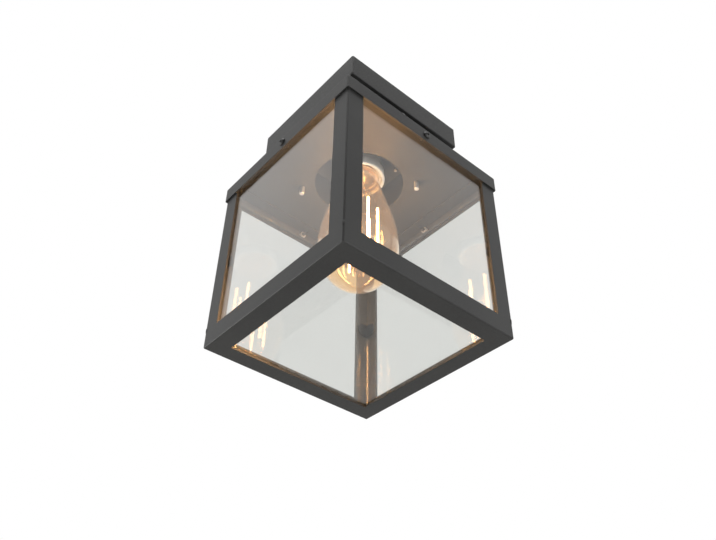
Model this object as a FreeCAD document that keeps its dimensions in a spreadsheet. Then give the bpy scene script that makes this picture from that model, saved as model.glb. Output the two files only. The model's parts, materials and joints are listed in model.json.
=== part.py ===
"""Porch ceiling lantern: a square glazed cage under a lid, a neck and a ceiling canopy.

Millimetres, +Z up. The origin is the middle of the ceiling plane, so the lantern hangs
into -Z. The right side faces +X, the back +Y, the left -X and the front -Y.
"""
import FreeCAD, Part
import math
import os
import Sketcher

Vector = FreeCAD.Vector
UP = Vector(0, 0, 1)
SQUARE = ((1, 1), (-1, 1), (-1, -1), (1, -1))
SIDES = ("right", "back", "left", "front")
CORNERS = ("back_right", "back_left", "front_left", "front_right")

SIZES = (
    # canopy against the ceiling
    ("canopy_side", 121.0, "width of the square ceiling canopy"),
    ("canopy_height", 23.0, "height of the ceiling canopy"),
    ("canopy_wall", 1.2, "sheet thickness of the canopy"),
    ("canopy_round", 1.6, "radius of the canopy's outer corners"),
    # neck between canopy and lid
    ("neck_side", 92.0, "width of the square neck"),
    ("neck_height", 42.0, "height of the neck"),
    ("neck_wall", 1.2, "sheet thickness of the neck"),
    ("mouth_radius", 37.0, "radius of the round mouth in neck and lid"),
    # lid
    ("lid_wall", 1.2, "sheet thickness of the lid"),
    ("lid_depth", 14.0, "height of the lid with its downturned rim"),
    ("lid_round", 1.4, "radius of the lid's outer edges"),
    ("rim_gap", 0.3, "gap between the lid's rim and the cage"),
    # cage of angle section
    ("cage_side", 160.0, "outer width of the cage"),
    ("cage_height", 163.0, "height of the cage"),
    ("cage_gap", 0.2, "gap between the cage and the lid's plate"),
    ("angle_wall", 1.5, "thickness of the angle sections"),
    ("post_leg", 15.0, "leg width of a corner post"),
    ("sill_leg", 15.0, "level leg of a bottom rail"),
    ("sill_rise", 15.5, "upright leg of a bottom rail"),
    ("rail_leg", 12.0, "level leg of a top rail"),
    ("rail_drop", 10.5, "upright leg of a top rail"),
    ("arris_round", 1.2, "radius of the cage's outer edges"),
    # glazing
    ("pane_thick", 2.0, "thickness of a glass pane"),
    ("pane_fit", 0.1, "gap between a pane and the metal around it"),
    ("pane_joint", 0.2, "gap between two panes at a corner"),
    ("clip_wall", 0.8, "thickness of a glass clip"),
    ("clip_height", 12.0, "height of a glass clip"),
    ("clip_wing", 10.2, "length of a glass clip's wing"),
    ("clip_round", 5.0, "radius at the ends of a clip's wings"),
    ("clip_level", 78.0, "depth of the clips' middle below the top of the lid"),
    # side screws that hold the cage in the lid
    ("side_screw_radius", 1.5, "shank radius of a side screw"),
    ("side_screw_inside", 6.5, "length of a side screw past the cage's outer face"),
    ("side_screw_level", 7.0, "depth of the side screws below the top of the lid"),
    ("side_head_radius", 3.2, "head radius of a side screw"),
    ("side_head_height", 2.0, "head height of a side screw"),
    ("side_head_flat", 1.45, "radius of the flat middle of a side screw's head"),
    ("side_head_bend", 3.0, "radius of the rounding of a side screw's head"),
    ("side_head_edge", 0.7, "height of the straight edge of a side screw's head"),
    ("side_socket", 1.15, "radius of the hexagon socket in a side screw"),
    ("side_socket_depth", 1.2, "depth of the hexagon socket in a side screw"),
    ("side_nut_radius", 3.175, "corner radius of a side screw's nut"),
    ("side_nut_height", 2.4, "height of a side screw's nut"),
    ("slot_clear", 0.2, "gap between a side screw and its slot"),
    ("nut_clear", 0.4, "gap between a side nut and its slot"),
    ("fit_clear", 0.05, "radial running fit of a shaft in its hole"),
    ("hole_clear", 0.2, "radial gap of a screw in a clearance hole"),
    # metric screws of the body, 4 mm thread
    ("screw_radius", 2.0, "shank radius of a body screw"),
    ("screw_head_radius", 3.8, "head radius of a body screw"),
    ("screw_head_height", 2.4, "head height of a body screw"),
    ("nut_radius", 4.04, "corner radius of a body nut"),
    ("nut_height", 3.2, "height of a body nut"),
    ("thread_past", 1.0, "thread showing past a nut"),
    ("washer_radius", 4.5, "outer radius of a washer"),
    ("washer_thick", 0.8, "thickness of a washer"),
    ("cap_nut_dome", 3.4, "height of a cap nut's dome above its hexagon"),
    ("cap_nut_collar", 0.8, "height of the straight collar between hexagon and dome"),
    ("tip_bevel", 0.4, "bevel at the end of a screw"),
    ("corner_margin", 10.8, "distance of the corner screws from the neck's inner walls"),
    ("lid_screw_hang", 8.0, "length of a lid screw below the lid's plate"),
    # ceiling bracket
    ("bracket_clear", 2.3, "gap between the bracket's ends and the canopy's walls"),
    ("bracket_width", 20.0, "width of the ceiling bracket"),
    ("bracket_wall", 1.5, "thickness of the ceiling bracket"),
    ("bracket_land", 13.0, "length of each level end of the bracket"),
    ("bracket_step", 6.0, "drop of the bracket's ends"),
    ("bracket_slope", 6.0, "length of each sloping part of the bracket"),
    ("bracket_slot_spacing", 50.0, "spacing of the ceiling screw slots"),
    ("bracket_slot_length", 16.0, "end to end length of a ceiling screw slot"),
    ("bracket_slot_radius", 2.5, "half width of a ceiling screw slot"),
    ("stud_margin", 4.0, "distance of each stud from the bracket's end"),
    ("stud_past", 5.0, "length of a stud below the canopy"),
    ("stud_flange_radius", 3.4, "radius of a stud's pressed flange"),
    ("stud_flange_height", 1.6, "height of a stud's pressed flange"),
    # lampholder
    ("skirt_radius", 21.2, "outer radius of the lampholder's skirt"),
    ("skirt_height", 8.9, "height of the lampholder's skirt"),
    ("skirt_recess", 4.4, "height of the skirt's edge above the top of the lid"),
    ("skirt_mouth", 18.6, "inner radius of the lampholder's skirt"),
    ("skirt_depth", 7.0, "depth of the lampholder's wide mouth"),
    ("holder_radius", 18.5, "radius of the lampholder's body"),
    ("holder_base", 5.0, "thickness of the lampholder's base"),
    ("holder_round", 1.2, "radius of the lampholder's outer edges"),
    ("mouth_round", 1.5, "radius inside the lampholder's mouth"),
    ("holder_screw_reach", 14.0, "distance of the lampholder's screws from its axis"),
    ("holder_screw_bite", 4.5, "length of a lampholder screw in the base"),
    ("shell_wall", 0.5, "wall of the threaded shell"),
    ("shell_top_gap", 4.8, "depth of the shell below the base's inner face"),
    ("contact_room", 3.0, "room for the centre contact between cap and base"),
    ("contact_strip", 0.6, "thickness of the contact springs"),
    ("contact_width", 5.0, "width of the contact springs"),
    ("contact_tongue", 4.0, "length of the centre contact's tongue past the axis"),
    ("contact_bend", 5.0, "distance of the centre contact's riser beyond its wire"),
    ("contact_heel", 1.5, "length of a contact's foot past its wire"),
    ("contact_press", 0.05, "gap between a contact spring and what it presses on"),
    ("wire_reach", 3.5, "distance of the two feed wires from the axis"),
    ("grommet_radius", 8.0, "radius of the hole for the cable grommet"),
    ("grommet_flange", 9.4, "radius of the grommet's flange"),
    ("grommet_bore", 6.0, "bore radius of the grommet"),
    ("grommet_lip", 1.5, "height of the grommet's flange"),
    ("grommet_round", 0.5, "radius of the grommet's upper edge"),
    # bulb
    ("bulb_radius", 32.0, "largest radius of the bulb"),
    ("bulb_length", 143.0, "length of the bulb with its cap"),
    ("bulb_belly", 37.0, "height of the widest place above the bulb's end"),
    ("shoulder_radius", 110.0, "radius of the bulb's shoulder"),
    ("taper_run", 29.0, "height of the shoulder above the widest place"),
    ("throat_level", 101.0, "height of the throat's start above the bulb's end"),
    ("throat_radius", 60.0, "radius of the throat's curve"),
    ("glass_wall", 0.8, "wall of the bulb's glass"),
    ("glass_tuck", 5.0, "length of the glass inside the cap"),
    ("glass_fit", 0.3, "gap between the glass and the cap's bore"),
    ("throat_step", 2.0, "height of the glass's step into the cap"),
    ("throat_seat", 0.2, "gap between the glass's step and the cap"),
    ("cap_length", 27.0, "length of the bulb's cap with its contact"),
    ("cap_radius", 13.2, "crest radius of the cap's thread"),
    ("cap_groove", 1.1, "depth of the cap's rolled thread"),
    ("cap_pitch", 3.63, "pitch of the cap's rolled thread"),
    ("cap_collar", 13.15, "radius of the cap's plain collar"),
    ("cap_bore", 11.7, "inner radius of the cap"),
    ("thread_start", 2.6, "height of the first thread above the cap's edge"),
    ("insulator_height", 3.0, "height of the insulator between shell and contact"),
    ("insulator_sunk", 3.0, "depth of the insulator inside the shell"),
    ("insulator_bore", 2.0, "radius of the insulator's bore"),
    ("insulator_top", 5.6, "radius of the insulator beside the contact"),
    ("contact_radius", 4.8, "radius of the cap's contact"),
    ("contact_height", 1.2, "height of the cap's contact"),
    ("contact_round", 0.6, "radius of the contact's edge"),
    ("stem_radius", 2.2, "radius of the glass stem"),
    ("stem_end", 29.0, "height of the stem's bead above the bulb's end"),
    ("stem_bead", 3.2, "radius of the bead at the stem's end"),
    ("flare_radius", 11.0, "radius of the stem's flare"),
    ("flare_length", 14.0, "length of the stem's flare"),
    ("stem_seat", 1.0, "depth of the stem's end below the cap's edge"),
    ("support_sunk", 0.6, "length of a lower wire inside the bead"),
    ("lead_flare", 1.6, "extra distance from the axis at which an upper wire enters the flare"),
    ("lead_sunk", 5.7, "depth of an upper wire's end below the stem's top"),
    ("stick_radius", 1.1, "radius of a glowing filament stick"),
    ("stick_length", 57.3, "length of a filament stick"),
    ("stick_low", 24.2, "height of the sticks' lower ends above the bulb's end"),
    ("stick_reach", 15.0, "distance of the filament sticks from the axis"),
    ("pin_length", 2.6, "upright length of the wires at a stick's ends"),
    ("pin_bend", 1.2, "radius of the bend in those wires"),
    ("support_radius", 0.3, "radius of a lower filament wire"),
    ("lead_radius", 0.4, "radius of an upper filament wire"),
    ("lead_reach", 3.0, "distance of the upper wires from the axis at the pinch"),
    # wiring
    ("wire_radius", 1.2, "radius of an insulated wire"),
    ("block_length", 30.0, "length of the terminal block"),
    ("block_width", 18.0, "width of the terminal block"),
    ("block_height", 14.0, "height of the terminal block"),
    ("block_round", 1.0, "radius of the terminal block's upright edges"),
    ("block_place", 38.0, "distance of the terminal block from the axis"),
    ("block_bore_level", 6.8, "height of the block's wire bores above its foot"),
    ("pole_spacing", 10.0, "spacing of the terminal block's poles"),
    ("insert_radius", 2.5, "outer radius of a terminal insert"),
    ("insert_bore", 1.4, "bore radius of a terminal insert"),
    ("insert_margin", 2.0, "depth of an insert inside the block's face"),
    ("clamp_spacing", 8.0, "spacing of the two clamp screws of a pole"),
    ("clamp_radius", 1.25, "radius of a clamp screw"),
    ("clamp_well", 1.7, "radius of the well over a clamp screw"),
    ("clamp_head", 1.5, "depth of a clamp screw's head below the block's top"),
    ("clamp_head_height", 1.4, "height of a clamp screw's head"),
    ("block_screw_radius", 1.5, "radius of the terminal block's screw"),
    ("block_screw_bite", 2.0, "length of the block's screw below the neck's roof"),
    ("block_screw_head", 2.7, "head radius of the block's screw"),
    ("block_screw_head_height", 1.8, "head height of the block's screw"),
    ("earth_x", 30.0, "distance of the earth screw to the left of the axis"),
    ("earth_y", 12.0, "distance of the earth screw behind the axis"),
    ("lug_radius", 4.6, "outer radius of the earth lug's ring"),
    ("lug_thick", 0.8, "thickness of the earth lug's ring"),
    ("lug_barrel", 1.9, "outer radius of the earth lug's barrel"),
    ("lug_reach", 9.0, "distance of the barrel's open end from the earth screw"),
    ("lug_barrel_length", 4.6, "length of the earth lug's barrel"),
    ("lug_stop", 0.8, "wall at the closed end of the earth lug's barrel"),
    ("wire_insert", 3.0, "length of a wire inside its insert"),
    ("wire_lead", 4.0, "straight length of a wire in front of the block"),
    ("wire_arch", 2.0, "rise of the feed wires above the inserts"),
    ("wire_turn", 4.5, "reach of the earth wire's turn"),
    ("wire_lug_depth", 0.2, "gap between the earth wire's end and the barrel's stop"),
)


def round_turns(names):
    """Each name with its turn in degrees, evenly once round the upright axis."""
    return [(name, 360 * index / len(names)) for index, name in enumerate(names)]


class Size:
    """A number that carries the sheet expression it comes from."""

    def __init__(self, value, text):
        self.value = float(value)
        self.text = text

    def __add__(self, other):
        other = as_size(other)
        return Size(self.value + other.value, "(%s + %s)" % (self.text, other.text))

    def __sub__(self, other):
        other = as_size(other)
        return Size(self.value - other.value, "(%s - %s)" % (self.text, other.text))

    def __mul__(self, other):
        other = as_size(other)
        return Size(self.value * other.value, "(%s * %s)" % (self.text, other.text))

    def __truediv__(self, other):
        other = as_size(other)
        return Size(self.value / other.value, "(%s / %s)" % (self.text, other.text))

    def __neg__(self):
        return Size(-self.value, "(0 - %s)" % self.text)

    def __radd__(self, other):
        return as_size(other) + self

    def __rsub__(self, other):
        return as_size(other) - self

    def __rmul__(self, other):
        return as_size(other) * self


def as_size(number):
    """Any number as a Size; a bare number is its own expression."""
    if isinstance(number, Size):
        return number
    return Size(number, "%.9f" % number)


class SheetSizes:
    """The sheet's cells as attributes, one Size per alias."""


def make_sheet(doc):
    """Write the driving dimensions into the sheet and return them as sizes."""
    sheet = doc.addObject("Spreadsheet::Sheet", "Sizes")
    for row, (alias, value, meaning) in enumerate(SIZES, start=1):
        sheet.set("A%d" % row, meaning)
        sheet.set("B%d" % row, str(value))
        sheet.setAlias("B%d" % row, alias)
    doc.recompute()
    sizes = SheetSizes()
    for alias, _, _ in SIZES:
        setattr(sizes, alias, Size(sheet.get(alias), "Sizes." + alias))
    return sizes


OVER = 1.0                  # how far a cutting tool runs past the face that it cuts
NEAR = 1e-4                 # points closer than this are taken as one
STICKS = 6                  # glowing sticks in the bulb
FIRST_STICK = 46.6          # angle of the first stick
BEND_SHARE = 0.45           # share of the shorter straight that a wire's bend takes up
PLATE_EDGE = 0.7            # a pressed plate's edge radius as a share of its corner radius
CROWN_SHARE = 0.55          # height of a screw head's side as a share of the head
BEAD_SIDE = 0.7             # sine of 45 degrees, for a round bead
BEAD_ROOT = 1.2             # distance from bead to plain rod in bead radii
FLARE_START = 1.6           # radius of the stem's waist in rod radii
FLARE_WAIST = 0.45          # height of that waist as a share of the flare
THREAD_END = 0.3            # part of a thread turn kept free at the cap's upper end

doc = FreeCAD.newDocument("lantern")
s = make_sheet(doc)
nodes = []


# ---------------------------------------------------------------- helpers

def node(shape_object):
    """Mark an object as one of the lantern's sub-parts."""
    nodes.append(shape_object)
    return shape_object


def bind(target, **sizes):
    """Set properties of an object and tie them to the sheet."""
    for name, size in sizes.items():
        size = as_size(size)
        setattr(target, name, size.value)
        target.setExpression(name, size.text)


def place(target, x=0, y=0, z=0, turn=0):
    """Put an object at a point, turned about the upright axis."""
    x, y, z = as_size(x), as_size(y), as_size(z)
    spot = Vector(x.value, y.value, z.value)
    target.Placement = FreeCAD.Placement(spot, FreeCAD.Rotation(UP, turn))
    for axis, size in (("x", x), ("y", y), ("z", z)):
        target.setExpression("Placement.Base." + axis, size.text)
    return target


def box(label, x_span, y_span, z_span):
    """A block between two values on each axis."""
    block = doc.addObject("Part::Box", label)
    block.Label = label
    (x0, x1), (y0, y1), (z0, z1) = x_span, y_span, z_span
    bind(block, Length=as_size(x1) - x0, Width=as_size(y1) - y0, Height=as_size(z1) - z0)
    return place(block, x0, y0, z0)


def cylinder(label, radius, z0, z1, x=0, y=0):
    """An upright round bar."""
    bar = doc.addObject("Part::Cylinder", label)
    bar.Label = label
    bind(bar, Radius=radius, Height=as_size(z1) - z0)
    return place(bar, x, y, z0)


def cut(label, base, tool):
    """One solid less another."""
    result = doc.addObject("Part::Cut", label)
    result.Label = label
    result.Base = base
    result.Tool = tool
    return result


def joined(label, pieces):
    """Several touching solids as one."""
    result = doc.addObject("Part::MultiFuse", label)
    result.Label = label
    result.Shapes = pieces
    return result


def group(label, pieces):
    """Separate solids that share one sub-part."""
    result = doc.addObject("Part::Compound", label)
    result.Label = label
    result.Links = pieces
    return result


def new_body(label):
    """An empty body with its label."""
    body = doc.addObject("PartDesign::Body", label)
    body.Label = label
    return body


def new_sketch(body, role, offset=0):
    """A sketch on one of the body's origin planes, moved along the plane's normal."""
    plane = [item for item in body.Origin.OriginFeatures if item.Role == role][0]
    sketch = body.newObject("Sketcher::SketchObject", "Outline")
    sketch.AttachmentSupport = (plane, [""])
    sketch.MapMode = "FlatFace"
    offset = as_size(offset)
    sketch.AttachmentOffset = FreeCAD.Placement(Vector(0, 0, offset.value), FreeCAD.Rotation())
    sketch.setExpression("AttachmentOffset.Base.z", offset.text)
    return sketch


def hold(sketch, kind, *place_and_size):
    """Add one constraint whose size is tied to the sheet."""
    *where, size = place_and_size
    size = as_size(size)
    number = sketch.addConstraint(Sketcher.Constraint(kind, *where, size.value))
    sketch.setExpression("Constraints[%d]" % number, size.text)


def arc_through(x0, y0, x1, y1, radius):
    """The short arc between two points: a positive radius turns to the left."""
    half = math.hypot(x1 - x0, y1 - y0) / 2
    rise = math.sqrt(max(radius * radius - half * half, 0.0))
    side = 1 if radius > 0 else -1
    cx = (x0 + x1) / 2 - side * rise * (y1 - y0) / (2 * half)
    cy = (y0 + y1) / 2 + side * rise * (x1 - x0) / (2 * half)
    circle = Part.Circle(Vector(cx, cy, 0), UP, abs(radius))
    start = math.atan2(y0 - cy, x0 - cx)
    end = math.atan2(y1 - cy, x1 - cx)
    if radius > 0:
        return Part.ArcOfCircle(circle, start, end)
    return Part.ArcOfCircle(circle, end, start)


def outline(sketch, points):
    """A closed outline; a point's third value makes the edge after it an arc."""
    points = [tuple(as_size(size) for size in point) for point in points]
    first = sketch.GeometryCount
    ends = []
    for here, ahead in zip(points, points[1:] + points[:1]):
        x0, y0, x1, y1 = here[0].value, here[1].value, ahead[0].value, ahead[1].value
        if len(here) == 3:
            edge = arc_through(x0, y0, x1, y1, here[2].value)
            ends.append((1, 2) if here[2].value > 0 else (2, 1))
        else:
            edge = Part.LineSegment(Vector(x0, y0, 0), Vector(x1, y1, 0))
            ends.append((1, 2))
        sketch.addGeometry(edge, False)
    count = len(points)
    for index in range(count):
        ahead = (index + 1) % count
        joint = (first + index, ends[index][1], first + ahead, ends[ahead][0])
        sketch.addConstraint(Sketcher.Constraint("Coincident", *joint))
    for index, point in enumerate(points):
        hold(sketch, "DistanceX", -1, 1, first + index, ends[index][0], point[0])
        hold(sketch, "DistanceY", -1, 1, first + index, ends[index][0], point[1])
        if len(point) == 3:
            size = point[2] if point[2].value > 0 else -point[2]
            hold(sketch, "Radius", first + index, size)


def circles(sketch, rounds):
    """Circles given as x, y and radius."""
    for x, y, radius in rounds:
        x, y, radius = as_size(x), as_size(y), as_size(radius)
        centre = Vector(x.value, y.value, 0)
        index = sketch.addGeometry(Part.Circle(centre, UP, radius.value), False)
        hold(sketch, "DistanceX", -1, 1, index, 3, x)
        hold(sketch, "DistanceY", -1, 1, index, 3, y)
        hold(sketch, "Radius", index, radius)


def square_points(half):
    """The four corners of a square about the axis."""
    return [(half * a, half * b) for a, b in SQUARE]


def pad(body, sketch, length, middle=False):
    """Add material along the sketch's normal."""
    feature = body.newObject("PartDesign::Pad", "Pad")
    feature.Profile = sketch
    bind(feature, Length=length)
    feature.Midplane = middle
    doc.recompute()
    return feature


def pocket(body, sketch, length, reverse=False):
    """Cut against the sketch's normal, or along it when reversed."""
    before = body.Shape.Volume
    feature = body.newObject("PartDesign::Pocket", "Pocket")
    feature.Profile = sketch
    bind(feature, Length=length)
    feature.Reversed = reverse
    doc.recompute()
    if body.Shape.Volume > before - 1e-6:
        raise RuntimeError("a pocket in %s cuts nothing" % body.Label)
    return feature


def turned(label, points, axis="V_Axis"):
    """A turned piece: points are distance from the axis and height along it.

    With the H axis the first value is the length and the second the distance.
    """
    body = new_body(label)
    sketch = new_sketch(body, "XZ_Plane")
    outline(sketch, points)
    feature = body.newObject("PartDesign::Revolution", "Turned")
    feature.Profile = sketch
    feature.ReferenceAxis = (sketch, [axis])
    feature.Angle = 360.0
    doc.recompute()
    return body


def soften(body, radius, wanted):
    """Round the edges of the body's shape that the test picks."""
    names = []
    for number, edge in enumerate(body.Shape.Edges, start=1):
        if wanted(edge):
            names.append("Edge%d" % number)
    base = body.Tip
    feature = body.newObject("PartDesign::Fillet", "Softened")
    feature.Base = (base, names)
    bind(feature, Radius=radius)
    doc.recompute()
    return feature


def is_upright(edge):
    """True for a straight edge along the upright axis."""
    low, high = edge.Vertexes[0].Point, edge.Vertexes[-1].Point
    return abs(low.x - high.x) < NEAR and abs(low.y - high.y) < NEAR


def lies_at(edge, level):
    """True for an edge that lies level at this height."""
    return all(abs(vertex.Point.z - level) < NEAR for vertex in edge.Vertexes)


def outer_square(label, half, low, high):
    """A square block about the axis between two heights."""
    body = new_body(label)
    sketch = new_sketch(body, "XY_Plane", low)
    outline(sketch, square_points(half))
    pad(body, sketch, as_size(high) - low)
    return body


def drilled(body, level, depth, rounds):
    """Round holes cut downwards from a level."""
    sketch = new_sketch(body, "XY_Plane", level)
    circles(sketch, rounds)
    pocket(body, sketch, depth)


def screw_points(radius, head_radius, head_height, length):
    """A pan head screw with its head up: its seat is at height 0."""
    crown = head_height * CROWN_SHARE
    return [
        (0, -length),
        (radius - s.tip_bevel, -length),
        (radius, s.tip_bevel - length),
        (radius, 0),
        (head_radius, 0),
        (head_radius, crown, head_height * 0.9),
        (head_radius - head_height * 0.45, head_height),
        (0, head_height),
    ]


def flipped(points):
    """The same profile with its top down, run the other way round."""
    turned_over = []
    for index, point in enumerate(points):
        behind = points[index - 1]
        spot = (point[0], -as_size(point[1]))
        turned_over.append(spot + (behind[2],) if len(behind) == 3 else spot)
    return turned_over[::-1]


def body_screw(label, length, head_up=True):
    """A 4 mm pan head screw of some length under its head."""
    points = screw_points(s.screw_radius, s.screw_head_radius, s.screw_head_height, length)
    return turned(label, points if head_up else flipped(points))


def hexagon(label, corner_radius, height):
    """An upright hexagonal bar."""
    bar = doc.addObject("Part::Prism", label)
    bar.Label = label
    bar.Polygon = 6
    bind(bar, Circumradius=corner_radius, Height=height)
    return bar


def nut(label, x, y, z):
    """A 4 mm hexagon nut standing on a height."""
    bar = place(hexagon(label + "_hex", s.nut_radius, s.nut_height), x, y, z)
    bore_radius = s.screw_radius + s.fit_clear
    top = z + s.nut_height
    bore = cylinder(label + "_bore", bore_radius, z - OVER, top + OVER, x, y)
    return cut(label, bar, bore)


def tube_shape(points, radius, bend=None):
    """A round wire along straight runs that are joined by tangent arcs.

    Each arc takes up BEND_SHARE of the shorter of its two runs, or has a given radius.
    """
    edges = []
    start = points[0]
    for index in range(1, len(points) - 1):
        before, corner, after = points[index - 1], points[index], points[index + 1]
        run_in, run_out = corner - before, after - corner
        half_turn = run_in.getAngle(run_out) / 2
        reach = BEND_SHARE * min(run_in.Length, run_out.Length)
        if bend is not None:
            reach = min(reach, bend * math.tan(half_turn))
        arc_radius = reach / math.tan(half_turn)
        inward = Vector(run_in).normalize()
        outward = Vector(run_out).normalize()
        arc_start = corner - inward * reach
        arc_end = corner + outward * reach
        to_centre = (outward - inward).normalize()
        centre = corner + to_centre * (arc_radius / math.cos(half_turn))
        arc_middle = centre - to_centre * arc_radius
        edges.append(Part.LineSegment(start, arc_start).toShape())
        edges.append(Part.Arc(arc_start, arc_middle, arc_end).toShape())
        start = arc_end
    edges.append(Part.LineSegment(start, points[-1]).toShape())
    path = Part.Wire(edges)
    first_way = (points[1] - points[0]).normalize()
    ring = Part.Wire([Part.Circle(points[0], first_way, radius).toShape()])
    tube = path.makePipeShell([ring], True, False)
    expected = math.pi * radius * radius * path.Length
    print("tube %.1f mm long, volume ratio %.4f" % (path.Length, tube.Volume / expected))
    return tube


def wire_piece(label, shape):
    """A piece whose shape is set from the sheet's sizes in this file."""
    piece = doc.addObject("Part::Feature", label)
    piece.Label = label
    piece.Shape = shape
    piece.Placement = FreeCAD.Placement()
    return piece


# ---------------------------------------------------------------- main levels and faces

canopy_floor = -(s.canopy_height - s.canopy_wall)     # upper face of the canopy's floor
canopy_under = -s.canopy_height                       # under face of the canopy
bracket_half = s.canopy_side / 2 - s.canopy_wall - s.bracket_clear
stud_reach = bracket_half - s.stud_margin
corner_reach = s.neck_side / 2 - s.neck_wall - s.corner_margin
roof_under = canopy_under - s.neck_wall               # under face of the neck's roof
lid_top = canopy_under - s.neck_height
flange_top = lid_top + s.neck_wall                    # upper face of the neck's flange
lid_under = lid_top - s.lid_wall
cage_top = lid_under - s.cage_gap
cage_low = cage_top - s.cage_height
rail_low = cage_top - s.rail_drop
sill_floor = cage_low + s.angle_wall                  # upper face of the level legs
sill_top = cage_low + s.sill_rise
cage_half = s.cage_side / 2
inner_half = cage_half - s.angle_wall                 # inner face of the upright legs
rim_inner = cage_half + s.rim_gap
rim_outer = rim_inner + s.lid_wall
screw_level = lid_top - s.side_screw_level
nut_flat = s.side_nut_radius * (math.sqrt(3) / 2)     # half the width across flats
tapped = s.screw_radius + s.fit_clear
through = s.screw_radius + s.hole_clear


# ---------------------------------------------------------------- ceiling canopy and bracket

def lead_in_holes():
    """Holes that the canopy's floor and the neck's roof share, one above the other."""
    reach = corner_reach
    return [
        (0, 0, s.grommet_radius),
        (0, s.holder_screw_reach, through),
        (0, -s.holder_screw_reach, through),
        (reach, -reach, through),
        (-reach, reach, through),
        (-s.earth_x, s.earth_y, through),
        (s.pole_spacing / 2, s.block_place, s.block_screw_radius + s.fit_clear),
    ]


def make_canopy():
    """A square pan of folded sheet, open towards the ceiling."""
    body = outer_square("ceiling_canopy", s.canopy_side / 2, canopy_under, 0)
    soften(body, s.canopy_round, is_upright)
    low = canopy_under.value
    soften(body, s.canopy_round * PLATE_EDGE, lambda edge: lies_at(edge, low))
    hollow = new_sketch(body, "XY_Plane", 0)
    outline(hollow, square_points(s.canopy_side / 2 - s.canopy_wall))
    pocket(body, hollow, s.canopy_height - s.canopy_wall)
    stud_holes = [(side * stud_reach, 0, through) for side in (1, -1)]
    drilled(body, canopy_floor, s.canopy_wall, lead_in_holes() + stud_holes)
    return node(body)


def make_bracket():
    """A cranked strip with two slots for ceiling screws and two holes for studs."""
    body = new_body("ceiling_bracket")
    sketch = new_sketch(body, "XZ_Plane")
    end = bracket_half
    foot = end - s.bracket_land
    flat = foot - s.bracket_slope
    wall = s.bracket_wall
    step = s.bracket_step
    outline(sketch, [
        (-flat, 0), (flat, 0), (foot, -step), (end, -step), (end, -step - wall),
        (foot - wall / 2, -step - wall), (flat - wall / 2, -wall), (wall / 2 - flat, -wall),
        (wall / 2 - foot, -step - wall), (-end, -step - wall), (-end, -step), (-foot, -step),
    ])
    pad(body, sketch, s.bracket_width, middle=True)
    slots = new_sketch(body, "XY_Plane", 0)
    reach = s.bracket_slot_length / 2 - s.bracket_slot_radius
    radius = s.bracket_slot_radius
    for side in (-1, 1):
        middle = side * s.bracket_slot_spacing / 2
        waist = radius * 1.0001
        outline(slots, [
            (middle - reach, -radius), (middle + reach, -radius, waist),
            (middle + reach, radius), (middle - reach, radius, waist),
        ])
    pocket(body, slots, wall * 2)
    ends = [(side * stud_reach, 0, tapped) for side in (1, -1)]
    drilled(body, -step, wall, ends)
    return node(body)


def make_canopy_fixings():
    """Two studs pressed into the bracket, with a washer and a cap nut below the canopy."""
    seat = -s.bracket_step
    stud_low = canopy_under - s.washer_thick - s.stud_past
    studs, washers, nuts = [], [], []
    for name, side in (("right", 1), ("left", -1)):
        x = side * stud_reach
        stud = turned("stud_" + name, [
            (0, stud_low), (s.screw_radius, stud_low), (s.screw_radius, seat),
            (s.stud_flange_radius, seat),
            (s.stud_flange_radius, seat + s.stud_flange_height),
            (0, seat + s.stud_flange_height),
        ])
        studs.append(place(stud, x))
        top = canopy_under
        foot = top - s.washer_thick
        disc = cylinder("washer_disc_" + name, s.washer_radius, foot, top, x)
        bore = cylinder("washer_bore_" + name, tapped, foot - OVER, top + OVER, x)
        washers.append(cut("washer_" + name, disc, bore))
        hex_low = foot - s.nut_height
        hex_bar = place(hexagon("cap_hex_" + name, s.nut_radius, s.nut_height), x, 0, hex_low)
        wide = s.nut_radius * 0.8
        rise = s.cap_nut_dome - s.cap_nut_collar
        dome = turned("cap_dome_" + name, [
            (0, hex_low - s.cap_nut_dome, (wide * wide + rise * rise) / (rise * 2)),
            (wide, hex_low - s.cap_nut_collar), (wide, hex_low + s.cap_nut_collar),
            (0, hex_low + s.cap_nut_collar),
        ])
        place(dome, x)
        solid = joined("cap_solid_" + name, [hex_bar, dome])
        well = cylinder("cap_well_" + name, tapped, stud_low - s.hole_clear, foot + OVER, x)
        nuts.append(cut("cap_nut_" + name, solid, well))
    node(group("bracket_studs", studs))
    node(group("canopy_washers", washers))
    node(group("canopy_nuts", nuts))


# ---------------------------------------------------------------- neck and lid

def lid_screw_spots():
    """The two corners of the neck where the lid is screwed on."""
    return [(corner_reach, corner_reach), (-corner_reach, -corner_reach)]


def make_neck():
    """A folded box with its roof against the canopy, and the flange plate under it."""
    body = outer_square("neck", s.neck_side / 2, flange_top, canopy_under)
    soften(body, s.canopy_round, is_upright)
    inside = new_sketch(body, "XY_Plane", roof_under)
    outline(inside, square_points(s.neck_side / 2 - s.neck_wall))
    pocket(body, inside, s.neck_height - 2 * s.neck_wall + OVER)
    drilled(body, canopy_under, s.neck_wall, lead_in_holes())
    node(body)

    flange = outer_square("neck_flange", s.neck_side / 2, lid_top, flange_top)
    soften(flange, s.canopy_round, is_upright)
    holes = [(0, 0, s.mouth_radius)]
    holes += [(x, y, through) for x, y in lid_screw_spots()]
    drilled(flange, flange_top, s.neck_wall, holes)
    node(flange)


def make_neck_fixings():
    """Screws and nuts that clamp the neck's roof under the canopy's floor."""
    screws, nuts = [], []
    reach = corner_reach
    length = s.neck_wall + s.canopy_wall + s.nut_height + s.thread_past
    for name, x, y in (("front", reach, -reach), ("back", -reach, reach)):
        screws.append(place(body_screw("neck_screw_" + name, length, False), x, y, roof_under))
        nuts.append(nut("neck_nut_" + name, x, y, canopy_floor))
    node(group("neck_screws", screws))
    node(group("neck_nuts", nuts))


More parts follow.
